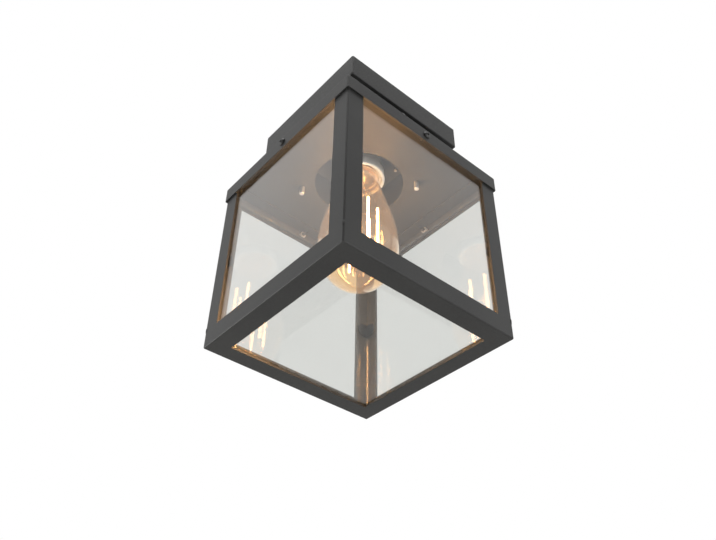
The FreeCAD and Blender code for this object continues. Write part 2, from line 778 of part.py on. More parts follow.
def make_lid():
    """A flat plate with a rim turned down round the top of the cage."""
    body = outer_square("lid", rim_outer, lid_top - s.lid_depth, lid_top)
    soften(body, s.lid_round, is_upright)
    top = lid_top.value
    soften(body, s.lid_round * PLATE_EDGE, lambda edge: lies_at(edge, top))
    inside = new_sketch(body, "XY_Plane", lid_under)
    outline(inside, square_points(rim_inner))
    pocket(body, inside, s.lid_depth - s.lid_wall)
    holes = [(0, 0, s.mouth_radius)]
    holes += [(x, y, tapped) for x, y in lid_screw_spots()]
    drilled(body, lid_top, s.lid_wall, holes)
    bore = s.side_screw_radius + s.fit_clear
    for role in ("YZ_Plane", "XZ_Plane"):
        sketch = new_sketch(body, role, rim_outer + OVER)
        circles(sketch, [(0, screw_level, bore)])
        pocket(body, sketch, 2 * (rim_outer + OVER))
    return node(body)


def make_lid_screws():
    """Two screws down through the neck's flange, tapped into the lid, ends hanging free."""
    length = s.neck_wall + s.lid_wall + s.lid_screw_hang
    screws = []
    for name, (x, y) in zip(("back", "front"), lid_screw_spots()):
        screws.append(place(body_screw("lid_screw_" + name, length), x, y, flange_top))
    node(group("lid_screws", screws))


# ---------------------------------------------------------------- lampholder

skirt_low = lid_top + s.skirt_recess
skirt_top = skirt_low + s.skirt_height
base_under = roof_under - s.holder_base
shell_bore = s.cap_radius + s.fit_clear
shell_outer = shell_bore + s.shell_wall
shell_top = base_under - s.shell_top_gap
well_low = skirt_low + s.skirt_depth
cap_tip = base_under - s.contact_room
bulb_end = cap_tip - s.bulb_length


def make_lampholder_body():
    """A white ceramic holder: base, straight body and wider skirt."""
    bore = shell_outer + s.fit_clear
    edge = s.holder_round
    body = turned("lampholder_body", [
        (0, base_under), (bore, base_under), (bore, well_low),
        (s.skirt_mouth - s.mouth_round, well_low, -s.mouth_round),
        (s.skirt_mouth, well_low - s.mouth_round), (s.skirt_mouth, skirt_low + edge / 2),
        (s.skirt_mouth + edge / 2, skirt_low), (s.skirt_radius - edge, skirt_low, edge),
        (s.skirt_radius, skirt_low + edge), (s.skirt_radius, skirt_top - edge, edge),
        (s.skirt_radius - edge, skirt_top),
        (s.holder_radius, skirt_top), (s.holder_radius, roof_under), (0, roof_under),
    ])
    wires = [(side * s.wire_reach, 0, s.wire_radius + s.fit_clear) for side in (1, -1)]
    drilled(body, roof_under, s.holder_base, wires)
    screws = [(0, side * s.holder_screw_reach, tapped) for side in (1, -1)]
    drilled(body, roof_under, s.holder_screw_bite, screws)
    return node(body)


def make_lampholder_metal():
    """The shell that takes the cap, and the two contact springs under the base."""
    node(turned("lampholder_shell", [
        (shell_bore, well_low), (shell_outer, well_low),
        (shell_outer, shell_top), (shell_bore, shell_top),
    ]))
    strip = s.contact_strip
    half = s.contact_width / 2
    low = cap_tip + s.contact_press
    foot = base_under - strip

    centre = new_body("lampholder_contact")
    sketch = new_sketch(centre, "XZ_Plane")
    right = s.wire_reach + s.contact_bend
    heel = s.wire_reach - s.contact_heel
    tip = -s.contact_tongue
    outline(sketch, [
        (tip, low), (right, low), (right, base_under), (heel, base_under), (heel, foot),
        (right - strip, foot), (right - strip, low + strip), (tip, low + strip),
    ])
    pad(centre, sketch, 2 * half, middle=True)
    node(centre)

    side = new_body("lampholder_side_contact")
    sketch = new_sketch(side, "XZ_Plane")
    riser = shell_outer - s.shell_wall / 2
    outline(sketch, [
        (-heel, base_under), (-riser, base_under), (-riser, shell_top),
        (strip - riser, shell_top), (strip - riser, foot), (-heel, foot),
    ])
    pad(side, sketch, 2 * half, middle=True)
    node(side)


def make_lampholder_fixings():
    """Two screws from the canopy's floor into the base, and the cable grommet."""
    length = s.canopy_wall + s.neck_wall + s.holder_screw_bite
    screws = []
    for name, side in (("back", 1), ("front", -1)):
        screw = body_screw("lampholder_screw_" + name, length)
        screws.append(place(screw, 0, side * s.holder_screw_reach, canopy_floor))
    node(group("lampholder_screws", screws))
    outer = s.grommet_radius - s.fit_clear
    lip = canopy_floor + s.grommet_lip
    node(turned("wire_grommet", [
        (s.grommet_bore, roof_under), (outer, roof_under), (outer, canopy_floor),
        (s.grommet_flange, canopy_floor),
        (s.grommet_flange, lip - s.grommet_round, s.grommet_round),
        (s.grommet_flange - s.grommet_round, lip), (s.grommet_bore, lip),
    ]))


# ---------------------------------------------------------------- wiring in the canopy

block_top = canopy_floor + s.block_height
bore_level = canopy_floor + s.block_bore_level
block_front = s.block_place - s.block_width / 2
block_back = s.block_place + s.block_width / 2
pole_places = (-s.pole_spacing, as_size(0), s.pole_spacing)


def make_terminal_block():
    """A three pole block with brass inserts and clamp screws."""
    body = new_body("terminal_block")
    sketch = new_sketch(body, "XY_Plane", canopy_floor)
    half = s.block_length / 2
    outline(sketch, [(-half, block_front), (half, block_front), (half, block_back),
                     (-half, block_back)])
    pad(body, sketch, s.block_height)
    soften(body, s.block_round, is_upright)
    bores = new_sketch(body, "XZ_Plane", OVER - block_front)
    circles(bores, [(x, bore_level, s.insert_radius + s.fit_clear) for x in pole_places])
    pocket(body, bores, s.block_width + 2 * OVER)
    wells = []
    for x in pole_places:
        for side in (1, -1):
            wells.append((x, s.block_place + side * s.clamp_spacing / 2, s.clamp_well))
    drilled(body, block_top, s.block_height - s.block_bore_level, wells)
    screw = [(s.pole_spacing / 2, s.block_place, s.block_screw_radius + s.fit_clear)]
    drilled(body, block_top, s.block_height, screw)
    node(body)

    inserts, clamps = [], []
    for number, x in enumerate(pole_places):
        insert = new_body("insert_%d" % number)
        ring = new_sketch(insert, "XZ_Plane", -(block_front + s.insert_margin))
        circles(ring, [(x, bore_level, s.insert_radius), (x, bore_level, s.insert_bore)])
        pad(insert, ring, s.block_width - 2 * s.insert_margin)
        insert.Tip.Reversed = True
        doc.recompute()
        spots = [s.block_place + side * s.clamp_spacing / 2 for side in (1, -1)]
        drilled(insert, bore_level + s.insert_radius + OVER, s.insert_radius + OVER,
                [(x, y, s.clamp_radius + s.fit_clear) for y in spots])
        inserts.append(insert)
        for side, y in zip(("back", "front"), spots):
            tip = bore_level + s.wire_radius + s.contact_press
            head = block_top - s.clamp_head
            neck = head - s.clamp_head_height
            wide = s.clamp_well - s.fit_clear
            label = "clamp_%d_%s" % (number, side)
            clamps.append(place(turned(label, [
                (0, tip), (s.clamp_radius, tip), (s.clamp_radius, neck), (wide, neck),
                (wide, head), (0, head),
            ]), x, y))
    node(group("terminal_inserts", inserts))
    node(group("terminal_screws", clamps))

    length = s.block_height + s.canopy_wall + s.neck_wall + s.block_screw_bite
    points = screw_points(s.block_screw_radius, s.block_screw_head,
                          s.block_screw_head_height, length)
    fixing = turned("terminal_fixing_screw", points)
    node(place(fixing, s.pole_spacing / 2, s.block_place, block_top))


def make_earth_point():
    """The earth lug under its screw, through canopy and neck into a nut."""
    x, y = -s.earth_x, s.earth_y
    top = canopy_floor + s.lug_thick
    ring = cylinder("lug_ring", s.lug_radius, canopy_floor, top, x, y)
    axis_level = canopy_floor + s.lug_barrel
    barrel = new_body("lug_barrel")
    end = x + s.lug_reach
    sketch = new_sketch(barrel, "YZ_Plane", end - s.lug_barrel_length)
    circles(sketch, [(y, axis_level, s.lug_barrel)])
    pad(barrel, sketch, s.lug_barrel_length)
    tongue = box("lug_tongue", (x, end), (y - s.lug_barrel, y + s.lug_barrel),
                 (canopy_floor, top))
    solid = joined("lug_solid", [ring, tongue, barrel])
    hole = cylinder("lug_hole", tapped, canopy_floor - OVER, top + OVER, x, y)
    mouth = new_body("lug_mouth")
    sketch = new_sketch(mouth, "YZ_Plane", end - s.lug_barrel_length + s.lug_stop)
    circles(sketch, [(y, axis_level, s.wire_radius + s.fit_clear)])
    pad(mouth, sketch, s.lug_barrel_length)
    node(cut("earth_lug", cut("lug_drilled", solid, hole), mouth))

    length = s.lug_thick + s.canopy_wall + s.neck_wall + s.nut_height + s.thread_past
    node(place(body_screw("earth_screw", length), x, y, top))
    node(nut("earth_nut", x, y, roof_under - s.nut_height))


def make_wires():
    """Two feed wires down into the lampholder and the earth wire to its lug."""
    radius = s.wire_radius.value
    level = bore_level.value
    start_y = (block_front + s.insert_margin + s.wire_insert).value
    clear_y = (block_front - s.wire_lead).value
    half_way = (block_front / 2).value
    deep = base_under.value
    over = (bore_level + s.wire_arch).value
    for label, x, drop in (("wire_live", s.pole_spacing.value, s.wire_reach.value),
                           ("wire_neutral", 0.0, -s.wire_reach.value)):
        points = [
            Vector(x, start_y, level), Vector(x, clear_y, level),
            Vector((x + drop) / 2, half_way, over), Vector(drop, 0, over),
            Vector(drop, 0, deep),
        ]
        node(wire_piece(label, tube_shape(points, radius)))
    x, y = -s.pole_spacing.value, s.earth_y.value
    stop = s.lug_reach - s.lug_barrel_length + s.lug_stop + s.wire_lug_depth
    end = (stop - s.earth_x).value
    lug = (canopy_floor + s.lug_barrel).value
    turn = s.wire_turn.value
    points = [
        Vector(x, start_y, level), Vector(x, clear_y, level),
        Vector(x - turn / 8, y + turn, (level + lug) / 2), Vector(x - turn, y, lug),
        Vector(end, y, lug),
    ]
    node(wire_piece("wire_earth", tube_shape(points, radius)))


# ---------------------------------------------------------------- cage

def quarter_prism(label):
    """The wedge of space that belongs to the right side."""
    body = new_body(label)
    sketch = new_sketch(body, "XY_Plane", cage_low - OVER)
    reach = cage_half + OVER
    outline(sketch, [(0, 0), (reach, -reach), (reach, reach)])
    pad(body, sketch, s.cage_height + 2 * OVER)
    return body


def mitred_rails(prefix, ring, wedge):
    """The four mitred sides of a ring, as separate rails."""
    for name, turn in round_turns(SIDES):
        rail = doc.addObject("Part::Common", prefix + name)
        rail.Label = prefix + name
        rail.Base = ring
        rail.Tool = wedge
        doc.recompute()
        place(rail, turn=turn)
        node(rail)


def make_bottom_rails(wedge):
    """Angle section under and round the panes, open in the middle."""
    ring = outer_square("sill_ring", cage_half, cage_low, sill_top)
    soften(ring, s.arris_round, is_upright)
    low = cage_low.value
    soften(ring, s.arris_round, lambda edge: lies_at(edge, low))
    upper = new_sketch(ring, "XY_Plane", sill_top)
    outline(upper, square_points(inner_half))
    pocket(ring, upper, s.sill_rise - s.angle_wall)
    window = new_sketch(ring, "XY_Plane", sill_floor)
    outline(window, square_points(cage_half - s.sill_leg))
    pocket(ring, window, s.angle_wall)
    mitred_rails("bottom_rail_", ring, wedge)


def make_top_rails(wedge):
    """Angle section inside the lid's rim, slotted for the side screws and their nuts."""
    ring = outer_square("rail_ring", cage_half, rail_low, cage_top)
    soften(ring, s.arris_round, is_upright)
    under = new_sketch(ring, "XY_Plane", cage_top - s.angle_wall)
    outline(under, square_points(inner_half))
    pocket(ring, under, s.rail_drop - s.angle_wall)
    window = new_sketch(ring, "XY_Plane", cage_top)
    outline(window, square_points(cage_half - s.rail_leg))
    pocket(ring, window, s.angle_wall)
    slot = new_sketch(ring, "XY_Plane", cage_top)
    shank = s.side_screw_radius + s.slot_clear
    wide = s.side_nut_radius + s.nut_clear
    tip = cage_half - s.side_screw_inside - s.nut_clear
    past = cage_half + OVER
    outline(slot, [
        (tip, -wide), (inner_half, -wide), (inner_half, -shank), (past, -shank),
        (past, shank), (inner_half, shank), (inner_half, wide), (tip, wide),
    ])
    cut_down = pocket(ring, slot, cage_top - screw_level + shank)
    pattern = ring.newObject("PartDesign::PolarPattern", "FourSlots")
    pattern.Originals = [cut_down]
    pattern.Axis = (slot, ["N_Axis"])
    pattern.Angle = 360.0
    pattern.Occurrences = 4
    ring.Tip = pattern
    doc.recompute()
    mitred_rails("top_rail_", ring, wedge)


def make_posts():
    """Four corner posts of angle section between the rails."""
    for name, turn in round_turns(CORNERS):
        body = new_body("post_" + name)
        sketch = new_sketch(body, "XY_Plane", sill_top)
        leg = cage_half - s.post_leg
        outline(sketch, [
            (cage_half, leg), (cage_half, cage_half), (leg, cage_half), (leg, inner_half),
            (inner_half, inner_half), (inner_half, leg),
        ])
        pad(body, sketch, rail_low - sill_top)
        corner = cage_half.value

        def outermost(edge):
            spot = edge.Vertexes[0].Point
            return is_upright(edge) and min(spot.x, spot.y) > corner - NEAR

        soften(body, s.arris_round, outermost)
        node(place(body, turn=turn))


pane_outer = inner_half - s.pane_fit
pane_inner = pane_outer - s.pane_thick
pane_low = sill_floor + s.pane_thick
pane_high = screw_level - nut_flat - s.nut_clear


def make_panes():
    """Four side panes that follow each other round the cage, standing on the bottom pane."""
    for name, turn in round_turns(SIDES):
        pane = box("pane_" + name, (pane_inner, pane_outer),
                   (-pane_outer, pane_inner - s.pane_joint), (pane_low, pane_high))
        y = as_size(-pane_outer)
        spot = Vector(pane_inner.value, y.value, pane_low.value)
        spin = FreeCAD.Rotation(UP, turn)
        pane.Placement = FreeCAD.Placement(spin.multVec(spot), spin)
        turn_cos, turn_sin = round(math.cos(math.radians(turn))), round(math.sin(math.radians(turn)))
        pane.setExpression("Placement.Base.x", (pane_inner * turn_cos - y * turn_sin).text)
        pane.setExpression("Placement.Base.y", (pane_inner * turn_sin + y * turn_cos).text)
        node(pane)
    half = pane_outer
    node(box("pane_bottom", (-half, half), (-half, half), (sill_floor, pane_low)))


def make_clips():
    """A bent leaf in each corner that keeps two panes against the posts."""
    face = pane_inner - s.fit_clear
    inner = face - s.clip_wall
    end = face - s.clip_wing
    middle = lid_top - s.clip_level

    def is_wing_end(edge):
        if is_upright(edge):
            return False
        spots = [vertex.Point for vertex in edge.Vertexes]
        along_x = all(abs(spot.x - end.value) < NEAR for spot in spots)
        along_y = all(abs(spot.y - end.value) < NEAR for spot in spots)
        return along_x or along_y

    clips = []
    for name, turn in round_turns(CORNERS):
        body = new_body("clip_" + name)
        sketch = new_sketch(body, "XY_Plane", middle - s.clip_height / 2)
        outline(sketch, [
            (face, end), (face, face), (end, face), (end, inner), (inner, inner), (inner, end),
        ])
        pad(body, sketch, s.clip_height)
        soften(body, s.clip_round, is_wing_end)
        clips.append(place(body, turn=turn))
    node(group("glass_clips", clips))


# ---------------------------------------------------------------- side screws

def hex_points(reach):
    """Corners of a regular hexagon whose corners lie at the given radius."""
    turns = [math.radians(60 * corner) for corner in range(6)]
    return [(reach * math.cos(turn), reach * math.sin(turn)) for turn in turns]


def make_side_screws():
    """A dome head screw in the middle of each side of the rim, with its nut inside."""
    nuts = []
    radius = s.side_screw_radius
    head = s.side_head_height
    tip = cage_half - s.side_screw_inside
    for name, turn in round_turns(SIDES):
        screw = turned("side_screw_" + name, [
            (tip, 0), (rim_outer + head, 0), (rim_outer + head, s.side_head_flat, s.side_head_bend),
            (rim_outer + s.side_head_edge, s.side_head_radius), (rim_outer, s.side_head_radius),
            (rim_outer, radius), (tip + s.tip_bevel, radius), (tip, radius - s.tip_bevel),
        ], axis="H_Axis")
        socket = new_sketch(screw, "YZ_Plane", rim_outer + head)
        outline(socket, hex_points(s.side_socket))
        pocket(screw, socket, s.side_socket_depth)
        node(place(screw, z=screw_level, turn=turn))

        holder = new_body("side_nut_" + name)
        ring = new_sketch(holder, "YZ_Plane", inner_half - s.fit_clear - s.side_nut_height)
        outline(ring, hex_points(s.side_nut_radius))
        circles(ring, [(0, 0, radius + s.fit_clear)])
        pad(holder, ring, s.side_nut_height)
        nuts.append(place(holder, z=screw_level, turn=turn))
    node(group("side_screw_nuts", nuts))


# ---------------------------------------------------------------- bulb

glass_top = cap_tip - s.cap_length
belly = bulb_end + s.bulb_belly


def glass_side(inset):
    """Radius and height of the bulb's side, from the belly to the throat.

    The shoulder is an arc that leaves the belly upright; the cone goes on at its slope,
    and the throat bends back to upright.
    """
    big = s.shoulder_radius.value
    run = s.taper_run.value
    drop = big - math.sqrt(big * big - run * run)
    slope = run / math.sqrt(big * big - run * run)
    lean = math.atan(slope)
    widest = s.bulb_radius.value
    shoulder = (widest - drop, belly.value + run)
    throat_z = (bulb_end + s.throat_level).value
    cone = (shoulder[0] - (throat_z - shoulder[1]) * slope, throat_z)
    small = s.throat_radius.value
    neck = (cone[0] - small * (1 - math.cos(lean)), cone[1] + small * math.sin(lean))
    shift = (inset * math.cos(lean), inset * math.sin(lean))
    return {
        "belly": (widest - inset, belly.value),
        "shoulder": (shoulder[0] - shift[0], shoulder[1] - shift[1]),
        "cone": (cone[0] - shift[0], cone[1] - shift[1]),
        "neck": (neck[0] - inset, neck[1]),
        "shoulder_radius": big - inset,
        "throat_radius": small + inset,
        "lean": lean,
    }


def glass_edges(inset):
    """Edges of the bulb's outline from its lower end to the throat.

    The first edge is a quarter of an oval between the end and the widest place.
    """
    side = glass_side(inset)
    bottom = (0.0, bulb_end.value + inset)
    ball = side["belly"][0]
    rise = belly.value - bottom[1]

    def at(point):
        return Vector(point[0], 0, point[1])

    ends = [Vector(ball, 0, belly.value), Vector(0, 0, belly.value - rise)]
    if ball < rise:
        ends.reverse()
    oval = Part.Ellipse(ends[0], ends[1], Vector(0, 0, belly.value))
    first = oval.parameter(at(bottom))
    last = oval.parameter(at(side["belly"]))
    if last < first:
        first, last = last, first
    if last - first > math.pi:
        first, last = last, first + 2 * math.pi
    edges = [Part.Edge(oval, first, last)]

    lean = side["lean"]
    big = side["shoulder_radius"]
    centre = (side["belly"][0] - big, belly.value)
    half_way = (centre[0] + big * math.cos(lean / 2), centre[1] + big * math.sin(lean / 2))
    edges.append(Part.Arc(at(side["belly"]), at(half_way), at(side["shoulder"])).toShape())
    edges.append(Part.LineSegment(at(side["shoulder"]), at(side["cone"])).toShape())
    small = side["throat_radius"]
    centre = (side["neck"][0] + small, side["neck"][1])
    half_way = (centre[0] - small * math.cos(lean / 2), centre[1] - small * math.sin(lean / 2))
    edges.append(Part.Arc(at(side["cone"]), at(half_way), at(side["neck"])).toShape())
    return edges, side["neck"], at


def make_envelope():
    """The clear glass, blown thin: a teardrop with a throat that enters the cap."""
    wall = s.glass_wall.value
    tuck = (s.cap_bore - s.glass_fit).value
    top = (glass_top + s.glass_tuck).value
    outer_edges, outer_neck, at = glass_edges(0.0)
    inner_edges, inner_neck, _ = glass_edges(wall)
    seat = (glass_top - s.throat_seat).value
    step = seat - s.throat_step.value
    outer = [outer_neck, (outer_neck[0], step), (tuck, seat), (tuck, top)]
    inner = [inner_neck, (inner_neck[0], step), (tuck - wall, seat), (tuck - wall, top)]
    edges = list(outer_edges)
    edges += [Part.LineSegment(at(a), at(b)).toShape() for a, b in zip(outer, outer[1:])]
    edges.append(Part.LineSegment(at(outer[-1]), at(inner[-1])).toShape())
    back = inner[::-1]
    edges += [Part.LineSegment(at(a), at(b)).toShape() for a, b in zip(back, back[1:])]
    edges += inner_edges[::-1]
    low, high = (0.0, bulb_end.value), (0.0, bulb_end.value + wall)
    edges.append(Part.LineSegment(at(high), at(low)).toShape())
    profile = Part.Wire(Part.__sortEdges__(edges))
    glass = Part.Face(profile).revolve(Vector(0, 0, 0), UP, 360)
    node(wire_piece("bulb_envelope", glass))
    return inner_neck[0]


def make_bulb_cap():
    """The cap: a shell with a rolled thread, its insulator and its contact."""
    contact_low = cap_tip - s.contact_height
    shell_high = contact_low - s.insulator_height
    middle = s.cap_radius - s.cap_groove / 2
    step = s.cap_pitch / 2
    first = glass_top + s.thread_start
    rings = int(((shell_high - first) / s.cap_pitch).value - THREAD_END)
    bulge = (s.cap_pitch * s.cap_pitch / 16 + s.cap_groove * s.cap_groove / 4) / s.cap_groove
    points = [
        (s.cap_bore, glass_top), (s.cap_collar, glass_top),
        (s.cap_collar, first - s.cap_groove / 2),
    ]
    for turn in range(2 * rings):
        way = 1 if turn % 2 == 0 else -1
        points.append((middle, first + turn * step, way * bulge))
    last = first + 2 * rings * step
    points.append((middle, last))
    points.append((s.cap_bore, shell_high))
    node(turned("bulb_cap", points))

    rim = s.cap_bore - s.fit_clear
    sunk = shell_high - s.insulator_sunk
    node(turned("bulb_insulator", [
        (s.insulator_bore, sunk), (rim, sunk), (rim, shell_high),
        (s.insulator_top, contact_low), (s.insulator_bore, contact_low),
    ]))
    shoulder = cap_tip - s.contact_round
    node(turned("bulb_contact", [
        (0, contact_low), (s.contact_radius, contact_low),
        (s.contact_radius, shoulder, s.contact_round),
        (s.contact_radius - s.contact_round, cap_tip), (0, cap_tip),
    ]))


def make_stem(neck_bore):
    """The glass stem: a flare sealed in the throat, a rod, and a bead at its end."""
    flare = min(s.flare_radius.value, neck_bore - s.glass_fit.value)
    high = glass_top - s.stem_seat
    low = bulb_end + s.stem_end
    rod = s.stem_radius
    waist = high - s.flare_length
    bead = s.stem_bead
    return turned("stem_glass", [
        (0, low - bead), (bead * BEAD_SIDE, low - bead * BEAD_SIDE, bead), (bead, low),
        (rod, low + bead * BEAD_ROOT), (rod, waist),
        (rod * FLARE_START, waist + s.flare_length * FLARE_WAIST),
        (flare, high), (0, high),
    ])


def make_filament(stem):
    """Glowing sticks in a ring; bent wires sealed in the stem hold both their ends."""
    low = (bulb_end + s.stick_low).value
    high = low + s.stick_length.value
    reach = s.stick_reach.value
    pin = s.pin_length.value
    touch = s.contact_press.value
    bead = UP * (bulb_end + s.stem_end).value
    pinch = UP * (glass_top - s.stem_seat - s.lead_sunk).value
    sticks, lower, upper = [], [], []
    for index in range(STICKS):
        angle = math.radians(FIRST_STICK + 360.0 * index / STICKS)
        away = Vector(math.cos(angle), math.sin(angle), 0)
        foot = away * reach + UP * low
        head = away * reach + UP * high
        sticks.append(Part.makeCylinder(s.stick_radius.value, high - low, foot))
        root = bead + away * (s.stem_bead - s.support_sunk).value
        route = [root, foot - UP * pin, foot - UP * touch]
        lower.append(tube_shape(route, s.support_radius.value, s.pin_bend.value))
        root = pinch + away * (s.lead_reach + s.lead_flare).value
        route = [root, head + UP * pin, head + UP * touch]
        upper.append(tube_shape(route, s.lead_radius.value, s.pin_bend.value))
    node(wire_piece("bulb_filament", Part.makeCompound(sticks)))
    supports = node(wire_piece("bulb_supports", Part.makeCompound(lower)))
    leads = node(wire_piece("bulb_leads", Part.makeCompound(upper)))
    node(cut("bulb_stem", cut("stem_with_supports", stem, supports), leads))


# ---------------------------------------------------------------- build and write

def build():
    """Make every sub-part."""
    make_canopy()
    make_bracket()
    make_canopy_fixings()
    make_neck()
    make_neck_fixings()
    make_lid()
    make_lid_screws()
    make_lampholder_body()
    make_lampholder_metal()
    make_lampholder_fixings()
    make_terminal_block()
    make_earth_point()
    make_wires()
    wedge = quarter_prism("right_wedge")
    make_bottom_rails(wedge)
    make_top_rails(wedge)
    make_posts()
    make_panes()
    make_clips()
    make_side_screws()
    neck_bore = make_envelope()
    make_bulb_cap()
    make_filament(make_stem(neck_bore))


def check():
    """Stop when an object failed or a sub-part has no sound shape."""
    doc.recompute()
    for item in doc.Objects:
        if "Invalid" in item.State or "Error" in item.State:
            raise RuntimeError("%s is %s" % (item.Label, item.State))
    for item in nodes:
        if item.Shape.isNull() or not item.Shape.isValid() or item.Shape.Volume <= 0:
            raise RuntimeError("%s has no sound shape" % item.Label)


def write():
    """Write one file per sub-part."""
    os.makedirs("parts", exist_ok=True)
    for item in nodes:
        item.Shape.exportStep("parts/%s.step" % item.Label)
    print("%d sub-parts written" % len(nodes))


build()
check()
write()
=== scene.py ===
"""Looks of a porch ceiling lantern, in metres, in the same frame as its solids."""
import json
import math

import bmesh
import bpy
import numpy as np
from mathutils import Matrix, Vector


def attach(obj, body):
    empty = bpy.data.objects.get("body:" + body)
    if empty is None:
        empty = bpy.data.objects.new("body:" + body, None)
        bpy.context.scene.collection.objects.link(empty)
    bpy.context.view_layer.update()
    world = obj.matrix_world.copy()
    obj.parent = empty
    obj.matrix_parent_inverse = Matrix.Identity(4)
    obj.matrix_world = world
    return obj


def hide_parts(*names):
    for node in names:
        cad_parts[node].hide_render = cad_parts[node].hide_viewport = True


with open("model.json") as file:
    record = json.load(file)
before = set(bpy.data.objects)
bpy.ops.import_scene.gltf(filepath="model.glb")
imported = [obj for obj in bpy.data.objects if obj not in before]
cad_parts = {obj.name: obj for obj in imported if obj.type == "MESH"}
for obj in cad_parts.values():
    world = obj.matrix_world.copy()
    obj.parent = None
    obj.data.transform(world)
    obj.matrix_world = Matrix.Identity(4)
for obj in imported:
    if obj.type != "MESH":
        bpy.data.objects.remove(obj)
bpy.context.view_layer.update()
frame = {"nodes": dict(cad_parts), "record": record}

MM = 0.001
SAME_PLACE = 1e-7           # points nearer than this are one

# Sizes of the solids that the new pieces stand for, in millimetres.
BULB_LOW = -175.2           # lower end of the bulb
BELLY_RISE = 37.0           # widest place above the lower end
BELLY_RADIUS = 32.0
SHOULDER_RADIUS = 110.0
SHOULDER_RISE = 29.0
THROAT_RISE = 101.0
THROAT_RADIUS = 60.0
GLASS_WALL = 0.8
CAP_LOW = -59.2             # where the glass enters the cap
CAP_HIGH = -36.4
CAP_BORE = 11.7
GLASS_FIT = 0.3             # between the glass and the cap's bore
GLASS_TUCK = 5.0            # length of the glass inside the cap
THROAT_SEAT = 0.2           # between the glass's step and the cap
THROAT_STEP = 2.0           # height of that step
STICKS = 6
FIRST_STICK = 46.6          # degrees
STICK_RADIUS = 1.1
STICK_REACH = 15.0          # from the bulb's axis
STICK_LOW = -151.0
STICK_HIGH = -93.7
LAMP_LEVELS = (-146.0, -122.0, -98.0)       # of the lamps on the bulb's axis
LAMP_POWER = 0.65           # watts, each
CAGE_HALF = 80.0            # half the width over the posts
ARRIS_ROUND = 1.2
POST_FOOT = -214.0          # where the posts stand on the bottom rails


# ------------------------------------------------------------------ meshes

def grid_mesh(name, sheets, wrap_rows, wrap_columns, sharp):
    """Surfaces over grids of points: each cell between two rows and two columns is a face.

    Rows or columns that wrap join the last to the first; points that fall together, as at a
    pole, become one, and the faces are turned outwards. Edges bent by more than the sharp
    angle, in degrees, keep their crease.
    """
    corners, faces, start = [], [], 0
    for points in sheets:
        rows, columns = points.shape[:2]
        index = start + np.arange(rows * columns).reshape(rows, columns)
        start += rows * columns
        if wrap_rows:
            index = np.vstack([index, index[:1]])
        if wrap_columns:
            index = np.hstack([index, index[:, :1]])
        cell = (index[:-1, :-1], index[1:, :-1], index[1:, 1:], index[:-1, 1:])
        faces.append(np.stack(cell, axis=-1).reshape(-1, 4))
        corners.append(points.reshape(-1, 3) * MM)
    mesh = bpy.data.meshes.new(name)
    mesh.from_pydata(np.concatenate(corners).tolist(), [], np.concatenate(faces).tolist())
    shell = bmesh.new()
    shell.from_mesh(mesh)
    bmesh.ops.remove_doubles(shell, verts=shell.verts, dist=SAME_PLACE)
    bmesh.ops.recalc_face_normals(shell, faces=shell.faces)
    shell.to_mesh(mesh)
    shell.free()
    mesh.polygons.foreach_set("use_smooth", np.ones(len(mesh.polygons), dtype=bool))
    mesh.set_sharp_from_angle(angle=math.radians(sharp))
    piece = bpy.data.objects.new(name, mesh)
    bpy.context.collection.objects.link(piece)
    return piece


def turned(profile, sides=128, centre=(0.0, 0.0)):
    """A turned surface: the profile (radius, height) goes once round an upright axis."""
    turn = np.linspace(0, 2 * np.pi, sides, endpoint=False)
    radius, height = profile[:, :1], profile[:, 1:]
    x = centre[0] + radius * np.cos(turn)
    y = centre[1] + radius * np.sin(turn)
    return np.stack([x, y, np.broadcast_to(height, x.shape)], axis=-1)


def arc(centre, radius, start, end, count):
    """Points on a circle in the profile plane, from one angle in degrees to another."""
    angle = np.radians(np.linspace(start, end, count))
    return np.stack([centre[0] + radius * np.cos(angle), centre[1] + radius * np.sin(angle)], 1)


# ------------------------------------------------------------------ materials

def paint(code):
    """A colour from its sRGB hex code, turned to linear light."""
    value = np.array([int(code[i:i + 2], 16) for i in (1, 3, 5)]) / 255
    linear = np.where(value <= 0.04045, value / 12.92, ((value + 0.055) / 1.055) ** 2.4)
    return (*linear.tolist(), 1.0)


def blank(name):
    """A named material with nothing in its node tree yet."""
    material = bpy.data.materials.new(name)
    material.use_nodes = True
    material.node_tree.nodes.clear()
    return material


def add_node(owner, kind, inputs=None, **settings):
    """One shader node; each input is a value, a socket, or a node whose first output is used."""
    node = owner.node_tree.nodes.new("ShaderNode" + kind)
    for name, value in settings.items():
        setattr(node, name, value)
    for name, value in (inputs or {}).items():
        if isinstance(value, bpy.types.Node):
            value = value.outputs[0]
        if isinstance(value, bpy.types.NodeSocket):
            owner.node_tree.links.new(value, node.inputs[name])
        else:
            node.inputs[name].default_value = value
    return node


